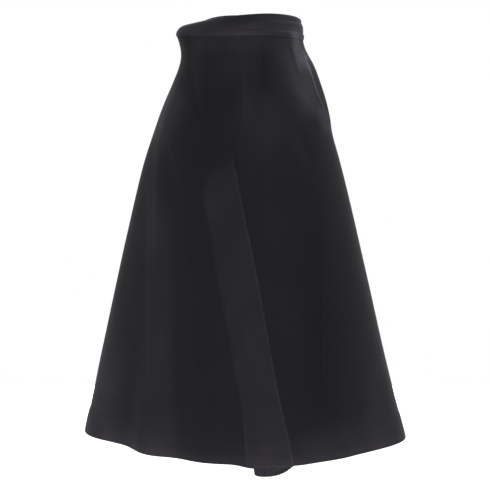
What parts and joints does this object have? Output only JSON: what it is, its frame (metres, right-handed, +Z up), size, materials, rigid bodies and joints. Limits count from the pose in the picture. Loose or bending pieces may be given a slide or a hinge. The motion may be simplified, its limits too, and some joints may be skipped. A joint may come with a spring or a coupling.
{
  "type": "flared skirt",
  "caption": "Flared midi skirt in plain black suiting, filled out as worn: fixed waistband, knife pleat at the middle front, pocket in the side seam, concealed zip at the back.",
  "frame": {"origin": "the middle of the waist, at the height of the waist seam", "axes": "+Z up along the skirt, the front faces -Y, the wearer's left is +X"},
  "size_m": [0.5989, 0.5391, 0.7953],
  "materials": {
    "suiting": "smooth matt suiting with a soft sheen where it turns away",
    "band_cloth": "the same suiting, stiffened and pressed",
    "facing_cloth": "the same suiting, in shade",
    "pocket_lining": "thin smooth lining",
    "zip_metal": "black enamelled metal"
  },
  "bodies": {
    "skirt": {"front_right_panel": "suiting", "front_left_panel": "suiting", "back_right_panel": "suiting", "back_left_panel": "suiting", "waistband": "band_cloth", "pocket_facing": "facing_cloth", "pocket_bag": "pocket_lining", "zip_slider": "zip_metal"},
    "pull": {"zip_pull": "zip_metal"}
  },
  "joints": [
    {"name": "pull_swing", "type": "hinge", "parent": "skirt", "child": "pull", "pos_m": [0, 0.0924, 0.0355], "axis": [1, 0, 0], "range_deg": [0, 165]}
  ]
}
